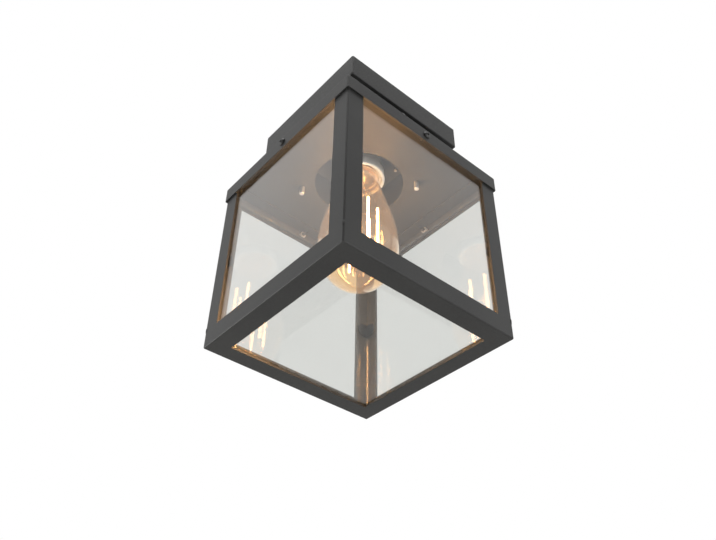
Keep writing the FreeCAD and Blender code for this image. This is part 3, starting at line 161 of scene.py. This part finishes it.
def powder_coat():
    """Polyester powder baked on sheet steel.

    A dry anthracite skin with a fine sandy grain: dark where one looks straight at it, greyer
    at a slant, and a little deeper or thinner from one hand's width to the next.
    """
    coat = blank("anthracite_powder_coat")
    where = add_node(coat, "TexCoord").outputs["Object"]
    cloud = add_node(coat, "TexNoise", {"Vector": where, "Scale": 1 / (45 * MM), "Detail": 3.0})
    depth = add_node(coat, "MapRange", {
        "Value": cloud, "From Min": 0.3, "From Max": 0.7, "To Min": 0.0, "To Max": 1.0})
    skin = add_node(coat, "Mix", {
        0: depth, 6: paint("#191919"), 7: paint("#232322")}, data_type="RGBA").outputs[2]
    grain = add_node(coat, "TexNoise", {
        "Vector": where, "Scale": 1 / (0.8 * MM), "Detail": 4.0, "Roughness": 0.65})
    grit = add_node(coat, "MapRange", {
        "Value": grain, "From Min": 0.35, "From Max": 0.7, "To Min": 0.0, "To Max": 0.5})
    colour = add_node(coat, "Mix", {
        0: grit, 6: skin, 7: paint("#343433")}, data_type="RGBA").outputs[2]
    gloss = add_node(coat, "MapRange", {
        "Value": grain, "From Min": 0.3, "From Max": 0.7, "To Min": 0.50, "To Max": 0.38})
    hills = add_node(coat, "Bump", {"Height": grain, "Distance": 0.05 * MM, "Strength": 0.5})
    shader = add_node(coat, "BsdfPrincipled", {
        "Base Color": colour, "Roughness": gloss, "Normal": hills, "Specular IOR Level": 0.34})
    add_node(coat, "OutputMaterial", {"Surface": shader})
    return coat


def float_glass():
    """Float glass, 2 mm, cut and ground.

    Clear with a slight grey cast, mirror-like at a slant, with a breath of dust that dulls it
    in patches.
    """
    glass = blank("float_glass")
    where = add_node(glass, "TexCoord").outputs["Object"]
    dust = add_node(glass, "TexNoise", {"Vector": where, "Scale": 1 / (30 * MM), "Detail": 4.0})
    dull = add_node(glass, "MapRange", {
        "Value": dust, "From Min": 0.5, "From Max": 0.8, "To Min": 0.0, "To Max": 0.03})
    shader = add_node(glass, "BsdfPrincipled", {
        "Base Color": paint("#ebecea"), "IOR": 1.5, "Transmission Weight": 1.0,
        "Roughness": dull})
    add_node(glass, "OutputMaterial", {"Surface": shader})
    return glass


def blown_glass():
    """Blown soda glass of the bulb, stained amber, with a slight waver in its wall.

    The wall carries a faint emission of its own: a painted glow that stands for the sticks'
    light taken up in the stain, so the whole wall glows tan.
    """
    glass = blank("blown_amber_glass")
    where = add_node(glass, "TexCoord").outputs["Object"]
    waver = add_node(glass, "TexNoise", {"Vector": where, "Scale": 1 / (14 * MM), "Detail": 1.0})
    hills = add_node(glass, "Bump", {"Height": waver, "Distance": 0.25 * MM, "Strength": 0.5})
    stain = add_node(glass, "MapRange", {
        "Value": waver, "From Min": 0.3, "From Max": 0.7, "To Min": 0.0, "To Max": 1.0})
    colour = add_node(glass, "Mix", {
        0: stain, 6: paint("#fae3bd"), 7: paint("#fce9ca")}, data_type="RGBA").outputs[2]
    # The emission below is a painted glow: the glass itself gives off a faint tan light
    shader = add_node(glass, "BsdfPrincipled", {
        "Base Color": colour, "IOR": 1.5, "Transmission Weight": 1.0, "Roughness": 0.0,
        "Normal": hills, "Emission Color": paint("#ffd8b8"), "Emission Strength": 0.085})
    add_node(glass, "OutputMaterial", {"Surface": shader})
    return glass


def glowing_sticks():
    """Filament sticks under yellow phosphor: a warm glow, a shade redder where it is thick."""
    glow = blank("glowing_phosphor")
    where = add_node(glow, "TexCoord").outputs["Object"]
    lumps = add_node(glow, "TexNoise", {"Vector": where, "Scale": 1 / (2.2 * MM), "Detail": 2.0})
    thick = add_node(glow, "MapRange", {
        "Value": lumps, "From Min": 0.3, "From Max": 0.7, "To Min": 0.0, "To Max": 1.0})
    light = add_node(glow, "Mix", {
        0: thick, 6: paint("#ffcc98"), 7: paint("#ffd6a8")}, data_type="RGBA").outputs[2]
    shader = add_node(glow, "BsdfPrincipled", {
        "Base Color": paint("#e8b04a"), "Roughness": 0.6, "Emission Color": light,
        "Emission Strength": 34.0})
    add_node(glow, "OutputMaterial", {"Surface": shader})
    return glow


def glazed_ceramic():
    """Steatite with a white glaze: even, wet-looking, faintly uneven where the glaze pooled."""
    body = blank("glazed_steatite")
    where = add_node(body, "TexCoord").outputs["Object"]
    cloud = add_node(body, "TexNoise", {"Vector": where, "Scale": 1 / (9 * MM), "Detail": 2.0})
    pool = add_node(body, "MapRange", {
        "Value": cloud, "From Min": 0.35, "From Max": 0.65, "To Min": 0.0, "To Max": 1.0})
    colour = add_node(body, "Mix", {
        0: pool, 6: paint("#efeeea"), 7: paint("#f8f7f4")}, data_type="RGBA").outputs[2]
    peel = add_node(body, "TexNoise", {"Vector": where, "Scale": 1 / (4 * MM), "Detail": 2.0})
    hills = add_node(body, "Bump", {"Height": peel, "Distance": 0.06 * MM, "Strength": 0.4})
    shader = add_node(body, "BsdfPrincipled", {
        "Base Color": colour, "Roughness": 0.16, "IOR": 1.5, "Coat Weight": 0.4,
        "Coat Roughness": 0.06, "Normal": hills})
    add_node(body, "OutputMaterial", {"Surface": shader})
    return body


def plated_metal(name, bright, dull, rough_low, rough_high, grain_mm):
    """Plated and tumbled metal: bright, with a blotchy sheen and fine rubbing marks."""
    metal = blank(name)
    where = add_node(metal, "TexCoord").outputs["Object"]
    cloud = add_node(metal, "TexNoise", {"Vector": where, "Scale": 1 / (6 * MM), "Detail": 3.0})
    patch = add_node(metal, "MapRange", {
        "Value": cloud, "From Min": 0.3, "From Max": 0.7, "To Min": 0.0, "To Max": 1.0})
    colour = add_node(metal, "Mix", {
        0: patch, 6: paint(dull), 7: paint(bright)}, data_type="RGBA").outputs[2]
    rub = add_node(metal, "TexNoise", {
        "Vector": where, "Scale": 1 / (grain_mm * MM), "Detail": 4.0})
    gloss = add_node(metal, "MapRange", {
        "Value": rub, "From Min": 0.3, "From Max": 0.7, "To Min": rough_low,
        "To Max": rough_high})
    hills = add_node(metal, "Bump", {"Height": rub, "Distance": 0.02 * MM, "Strength": 0.4})
    shader = add_node(metal, "BsdfPrincipled", {
        "Base Color": colour, "Metallic": 1.0, "Roughness": gloss, "Normal": hills})
    add_node(metal, "OutputMaterial", {"Surface": shader})
    return metal


def blackened_spring():
    """Spring steel, blackened and oiled: nearly black, with a soft shine along its bends."""
    steel = blank("blackened_spring_steel")
    where = add_node(steel, "TexCoord").outputs["Object"]
    oil = add_node(steel, "TexNoise", {"Vector": where, "Scale": 1 / (3 * MM), "Detail": 3.0})
    film = add_node(steel, "MapRange", {
        "Value": oil, "From Min": 0.3, "From Max": 0.7, "To Min": 0.0, "To Max": 1.0})
    colour = add_node(steel, "Mix", {
        0: film, 6: paint("#050505"), 7: paint("#0f0e0d")}, data_type="RGBA").outputs[2]
    gloss = add_node(steel, "MapRange", {
        "Value": oil, "From Min": 0.3, "From Max": 0.7, "To Min": 0.32, "To Max": 0.5})
    shader = add_node(steel, "BsdfPrincipled", {
        "Base Color": colour, "Roughness": gloss, "Specular IOR Level": 0.3})
    add_node(steel, "OutputMaterial", {"Surface": shader})
    return steel


def moulded(name, light, deep, rough):
    """Moulded or extruded plastic and rubber: even colour with a faint skin grain."""
    plastic = blank(name)
    where = add_node(plastic, "TexCoord").outputs["Object"]
    cloud = add_node(plastic, "TexNoise", {"Vector": where, "Scale": 1 / (12 * MM)})
    tone = add_node(plastic, "MapRange", {
        "Value": cloud, "From Min": 0.3, "From Max": 0.7, "To Min": 0.0, "To Max": 1.0})
    colour = add_node(plastic, "Mix", {
        0: tone, 6: paint(deep), 7: paint(light)}, data_type="RGBA").outputs[2]
    grain = add_node(plastic, "TexNoise", {
        "Vector": where, "Scale": 1 / (0.6 * MM), "Detail": 3.0})
    gloss = add_node(plastic, "MapRange", {
        "Value": grain, "From Min": 0.3, "From Max": 0.7, "To Min": rough - 0.08,
        "To Max": rough + 0.08})
    hills = add_node(plastic, "Bump", {"Height": grain, "Distance": 0.02 * MM, "Strength": 0.4})
    shader = add_node(plastic, "BsdfPrincipled", {
        "Base Color": colour, "IOR": 1.48, "Specular IOR Level": 0.4, "Roughness": gloss,
        "Normal": hills})
    add_node(plastic, "OutputMaterial", {"Surface": shader})
    return plastic


def striped_insulation():
    """Green insulation with slanting yellow stripes, as on earth wires."""
    sheath = blank("striped_earth_insulation")
    where = add_node(sheath, "TexCoord").outputs["Object"]
    bands = add_node(sheath, "TexWave", {
        "Vector": where, "Scale": 1 / (18 * MM), "Distortion": 0.6, "Detail": 1.0,
    }, bands_direction="DIAGONAL").outputs["Fac"]
    mask = add_node(sheath, "MapRange", {
        "Value": bands, "From Min": 0.47, "From Max": 0.53, "To Min": 0.0, "To Max": 1.0})
    colour = add_node(sheath, "Mix", {
        0: mask, 6: paint("#2f7d32"), 7: paint("#d9c62b")}, data_type="RGBA").outputs[2]
    shader = add_node(sheath, "BsdfPrincipled", {
        "Base Color": colour, "IOR": 1.48, "Roughness": 0.45})
    add_node(sheath, "OutputMaterial", {"Surface": shader})
    return sheath


# ------------------------------------------------------------------ bulb

def bulb_side(inset):
    """Outline of the blown bulb from its lower end to the cap, moved inwards by an inset.

    A quarter of an oval rises to the belly; a wide arc leaves the belly upright; a straight
    cone goes on at the arc's slope; a reverse arc brings the throat upright again.
    """
    belly = BULB_LOW + BELLY_RISE
    angle = np.radians(np.linspace(-90, 0, 28))
    oval = np.stack([(BELLY_RADIUS - inset) * np.cos(angle),
                     belly + (BELLY_RISE - inset) * np.sin(angle)], 1)
    lean = math.asin(SHOULDER_RISE / SHOULDER_RADIUS)
    turn = math.degrees(lean)
    shoulder = arc((BELLY_RADIUS - SHOULDER_RADIUS, belly), SHOULDER_RADIUS - inset, 0, turn, 12)
    cone_start = BELLY_RADIUS - SHOULDER_RADIUS * (1 - math.cos(lean))
    throat = BULB_LOW + THROAT_RISE
    cone_end = cone_start - (throat - belly - SHOULDER_RISE) * math.tan(lean)
    centre = (cone_end + THROAT_RADIUS * math.cos(lean), throat + THROAT_RADIUS * math.sin(lean))
    curve = arc(centre, THROAT_RADIUS + inset, 180 + turn, 180, 12)
    neck = centre[0] - THROAT_RADIUS - inset
    tuck = CAP_BORE - GLASS_FIT - inset
    seat = CAP_LOW - THROAT_SEAT
    entry = np.array([[neck, seat - THROAT_STEP], [tuck, seat], [tuck, CAP_LOW + GLASS_TUCK]])
    return np.concatenate([oval, shoulder[1:], curve, entry])


def bulb_glass(glass):
    """The envelope: the outline and the same outline moved in by the wall, turned once round."""
    profile = np.concatenate([bulb_side(0.0), bulb_side(GLASS_WALL)[::-1]])
    piece = grid_mesh("bulb_glass", [turned(profile)], True, True, 60)
    piece.data.materials.append(glass)
    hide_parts("bulb_envelope")
    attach(piece, "bulb")
    piece.visible_shadow = False


def filament_sticks(glow):
    """Six upright sticks set evenly round the bulb's axis.

    Each is a profile turned round its own line: a straight side that closes at both ends with
    a quarter of a circle.
    """
    foot = arc((0.0, STICK_LOW + STICK_RADIUS), STICK_RADIUS, -90, 0, 7)
    head = arc((0.0, STICK_HIGH - STICK_RADIUS), STICK_RADIUS, 0, 90, 7)
    profile = np.concatenate([foot, head])
    turn = np.radians(FIRST_STICK) + 2 * np.pi * np.arange(STICKS) / STICKS
    spots = STICK_REACH * np.stack([np.cos(turn), np.sin(turn)], 1)
    piece = grid_mesh("filament_sticks", [turned(profile, 24, spot) for spot in spots],
                      False, True, 60)
    piece.data.materials.append(glow)
    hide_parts("bulb_filament")
    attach(piece, "bulb")
    return piece


def bulb_light(sticks):
    """The sticks' light on the steel, from three small lamps along the bulb's axis.

    They go with the sticks and light only the coated and the plated steel, so the glass
    mirrors only what is really there.
    """
    lit = bpy.data.collections.new("lit_by_bulb")
    for part in frame["record"]["subparts"]:
        if part["material_slot"] in ("powder_coat", "zinc_steel"):
            lit.objects.link(frame["nodes"][part["node"]])
    for number, height in enumerate(LAMP_LEVELS):
        light = bpy.data.lights.new("bulb_light_%d" % number, "POINT")
        light.color = paint("#ffc080")[:3]
        light.energy = LAMP_POWER
        light.shadow_soft_size = STICK_REACH * MM
        lamp = bpy.data.objects.new(light.name, light)
        lamp.location = (0, 0, height * MM)
        lamp.visible_camera = False
        lamp.visible_transmission = False
        lamp.light_linking.receiver_collection = lit
        lamp.parent = sticks
        bpy.context.collection.objects.link(lamp)


def screw_cap(metal):
    """The bulb's cap: a thin sleeve whose radius rises and falls as a wave that also winds.

    The wave climbs one pitch in a turn; it fades out towards the collar and the insulator.
    """
    pitch, groove, mean, lip_out = 3.63, 0.5, 12.65, 0.5
    collar, collar_fade, top_plain, top_fade = 1.4, 2.0, 0.6, 1.6
    rows, sides = 120, 96
    height = np.linspace(CAP_LOW, CAP_HIGH, rows)[:, None]
    turn = np.linspace(0, 2 * np.pi, sides, endpoint=False)[None, :]
    from_collar = np.clip((height - CAP_LOW - collar) / collar_fade, 0, 1)
    from_top = np.clip((CAP_HIGH - height - top_plain) / top_fade, 0, 1)
    wave = groove * from_collar * from_top * np.cos(2 * np.pi * height / pitch - turn)
    radius = mean + lip_out * (1 - from_collar) + wave
    inner = np.broadcast_to(np.full_like(height, CAP_BORE), radius.shape)
    both = np.concatenate([radius, inner[::-1]])
    level = np.concatenate([height, height[::-1]])
    points = np.stack([both * np.cos(turn), both * np.sin(turn),
                       np.broadcast_to(level, both.shape)], -1)
    piece = grid_mesh("screw_cap", [points], True, True, 50)
    piece.data.materials.append(metal)
    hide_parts("bulb_cap")
    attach(piece, "bulb")


# ------------------------------------------------------------------ lampholder

def holder_shell(ceramic):
    """The lampholder's body: base, straight wall, step and rounded skirt, turned once round."""
    skirt_low, skirt_top, roof = -60.6, -51.7, -24.2
    base, well, bore = -29.2, -53.6, 13.8
    body, skirt, mouth, edge, lip, corner = 18.5, 21.2, 18.6, 1.2, 0.6, 1.5
    outside = np.concatenate([
        [[0.0, roof]], arc((body - lip, roof - lip), lip, 90, 0, 5),
        arc((body + lip, skirt_top + lip), lip, 180, 270, 5),
        arc((skirt - edge, skirt_top - edge), edge, 90, 0, 8),
        arc((skirt - edge, skirt_low + edge), edge, 0, -90, 8),
        arc((mouth + lip, skirt_low + lip), lip, -90, -180, 6),
    ])
    inside = np.concatenate([
        arc((mouth - corner, well - corner), corner, 0, 90, 8),
        [[bore, well], [bore, base], [0.0, base]],
    ])
    profile = np.concatenate([outside, inside])
    piece = grid_mesh("holder_ceramic", [turned(profile)], False, True, 40)
    piece.data.materials.append(ceramic)
    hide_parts("lampholder_body")
    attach(piece, "fixed_top")


# ------------------------------------------------------------------ cage details

def weld_dabs(coat):
    """A small painted-over weld where each corner post meets the bottom rails.

    Each dab is a low mound over an upright oval, its height the square root of what is left of
    the oval, and it leans out from the corner's arris.
    """
    wide, tall, proud, sunk = 1.1, 2.6, 0.42, 0.12
    across = np.linspace(0, 2 * np.pi, 24, endpoint=False)[None, :]
    ring = np.linspace(0, 1, 9)[:, None]
    side = wide * ring * np.cos(across)
    rise = tall * ring * np.sin(across)
    swell = proud * np.sqrt(np.clip(1 - ring ** 2, 0, 1)) - sunk
    diagonal = math.sqrt(0.5)
    arris = CAGE_HALF - ARRIS_ROUND * (1 - diagonal)
    reach = arris + swell * diagonal
    for name, sx, sy in (("front_right", 1, -1), ("back_right", 1, 1),
                         ("back_left", -1, 1), ("front_left", -1, -1)):
        points = np.stack([sx * (reach - side * diagonal), sy * (reach + side * diagonal),
                           POST_FOOT + rise], -1)
        piece = grid_mesh("weld_dab_" + name, [points], False, True, 60)
        piece.data.materials.append(coat)
        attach(piece, "cage")


# ------------------------------------------------------------------ stage

TENT_OPENING = (0.589, -0.4995, 0.635)      # unit direction
FLOOR_HALF, FLOOR_LEVEL = 3.0, -0.9         # metres
LANTERN_MIDDLE = (0, 0, -0.14)              # where the lights are aimed
SOFTBOXES = (                               # name, place and side in metres, power in watts
    ("left_softbox", (-0.9, -1.1, -0.5), 0.9, 12.0),
    ("right_softbox", (1.3, 0.2, -0.3), 0.9, 9.0),
    ("top_softbox", (0.2, -0.3, 1.3), 1.2, 12.0),
)
VIEW_AZIMUTH, VIEW_ELEVATION, VIEW_ROLL = 49.70, -39.44, 0.92       # degrees
VIEW_AIM = (64.67, -54.64, -229.44)         # millimetres, as the distance
VIEW_DISTANCE = 493.35
FOCAL_PIXELS, FRAME_PIXELS, SENSOR = 771.76, 716, 36.0      # lens and photo's width; mm


def studio():
    """A pale floor far below, a white surround and soft lights from the sides and above.

    What shines on the lantern and mirrors in it comes from a light tent with a dark opening
    high on its near side; what shows past it and through its glass is plain white.
    """
    world = bpy.data.worlds.new("light_tent")
    world.use_nodes = True
    world.node_tree.nodes.clear()
    towards = add_node(world, "TexCoord").outputs["Generated"]
    near_side = add_node(world, "VectorMath", {0: towards, 1: TENT_OPENING},
                         operation="DOT_PRODUCT").outputs["Value"]
    tent = add_node(world, "MapRange", {
        "Value": near_side, "From Min": 0.40, "From Max": 0.85, "To Min": 1.0, "To Max": 0.15})
    path = add_node(world, "LightPath")
    seen = add_node(world, "Math", {
        0: path.outputs["Is Camera Ray"], 1: path.outputs["Is Transmission Ray"]},
        operation="MAXIMUM")
    bright = add_node(world, "Math", {0: tent, 1: seen}, operation="MAXIMUM")
    sky = add_node(world, "Background", {"Color": (1, 1, 1, 1), "Strength": bright})
    add_node(world, "OutputWorld", {"Surface": sky})
    bpy.context.scene.world = world

    floor = bpy.data.meshes.new("floor")
    half, level = FLOOR_HALF, FLOOR_LEVEL
    corners = [(-half, -half, level), (half, -half, level), (half, half, level),
               (-half, half, level)]
    floor.from_pydata(corners, [], [(0, 1, 2, 3)])
    ground = bpy.data.objects.new("floor", floor)
    bpy.context.collection.objects.link(ground)
    pale = blank("pale_floor")
    where = add_node(pale, "TexCoord").outputs["Object"]
    cloud = add_node(pale, "TexNoise", {"Vector": where, "Scale": 1 / (400 * MM)})
    colour = add_node(pale, "Mix", {
        0: cloud, 6: paint("#e6e5e2"), 7: paint("#edecea")}, data_type="RGBA").outputs[2]
    shader = add_node(pale, "BsdfPrincipled", {"Base Color": colour, "Roughness": 0.8})
    add_node(pale, "OutputMaterial", {"Surface": shader})
    floor.materials.append(pale)

    for name, spot, size, power in SOFTBOXES:
        light = bpy.data.lights.new(name, "AREA")
        light.size = size
        light.energy = power
        lamp = bpy.data.objects.new(name, light)
        lamp.location = spot
        away = Vector(spot) - Vector(LANTERN_MIDDLE)
        lamp.rotation_mode = "QUATERNION"
        lamp.rotation_quaternion = away.to_track_quat("Z", "Y")
        lamp.visible_camera = False
        bpy.context.collection.objects.link(lamp)


def photo_camera():
    """The camera stands below the front right corner and looks up at the lantern."""
    azimuth, elevation = math.radians(VIEW_AZIMUTH), math.radians(VIEW_ELEVATION)
    roll = math.radians(VIEW_ROLL)
    aim = Vector(VIEW_AIM) * MM
    back = Vector((math.sin(azimuth) * math.cos(elevation),
                   -math.cos(azimuth) * math.cos(elevation), math.sin(elevation)))
    level = Vector((0, 0, 1)).cross(back).normalized()
    upward = back.cross(level)
    right = level * math.cos(roll) + upward * math.sin(roll)
    top = upward * math.cos(roll) - level * math.sin(roll)
    data = bpy.data.cameras.new("camera")
    data.sensor_width = SENSOR
    data.lens = FOCAL_PIXELS * SENSOR / FRAME_PIXELS
    data.clip_start = 0.01
    camera = bpy.data.objects.new("camera", data)
    bpy.context.collection.objects.link(camera)
    turn = Matrix((right, top, back)).transposed().to_4x4()
    camera.matrix_world = Matrix.Translation(aim + back * VIEW_DISTANCE * MM) @ turn
    bpy.context.scene.camera = camera


# ------------------------------------------------------------------ dress the solids

def dress(finishes):
    """Give each solid the finish of its material slot; light passes freely through a pane."""
    for part in frame["record"]["subparts"]:
        solid = frame["nodes"][part["node"]]
        solid.data.materials.clear()
        solid.data.materials.append(finishes[part["material_slot"]])
        solid.visible_shadow = not part["node"].startswith("pane_")


coat = powder_coat()
ceramic = glazed_ceramic()
blown = blown_glass()
phosphor = glowing_sticks()
cap_brass = plated_metal("rolled_brass", "#d9b878", "#b8925a", 0.18, 0.34, 0.5)
dress({
    "powder_coat": coat,
    "clear_glass": float_glass(),
    "bulb_glass": blown,
    "black_spring": blackened_spring(),
    "zinc_steel": plated_metal("zinc_plated_steel", "#e6e7e7", "#cbcdcf", 0.35, 0.55, 0.6),
    "ceramic_white": ceramic,
    "brass_parts": plated_metal("stamped_brass", "#d8b36a", "#ad8748", 0.22, 0.4, 0.6),
    "cap_metal": cap_brass,
    "cap_insulator": moulded("vitrified_insulator", "#1a1a1e", "#0d0d10", 0.2),
    "filament_wire": phosphor,
    "support_wire": plated_metal("drawn_nickel_wire", "#b4ada2", "#857d72", 0.25, 0.4, 0.3),
    "brown_wire": moulded("brown_insulation", "#4a2a18", "#371d10", 0.42),
    "blue_wire": moulded("blue_insulation", "#2452a4", "#1a3f84", 0.42),
    "earth_wire": striped_insulation(),
    "grommet_rubber": moulded("moulded_rubber", "#1f1f1f", "#151515", 0.6),
})
bulb_glass(blown)
bulb_light(filament_sticks(phosphor))
screw_cap(cap_brass)
holder_shell(ceramic)
weld_dabs(coat)
studio()
photo_camera()
bpy.context.scene.view_settings.view_transform = "Standard"
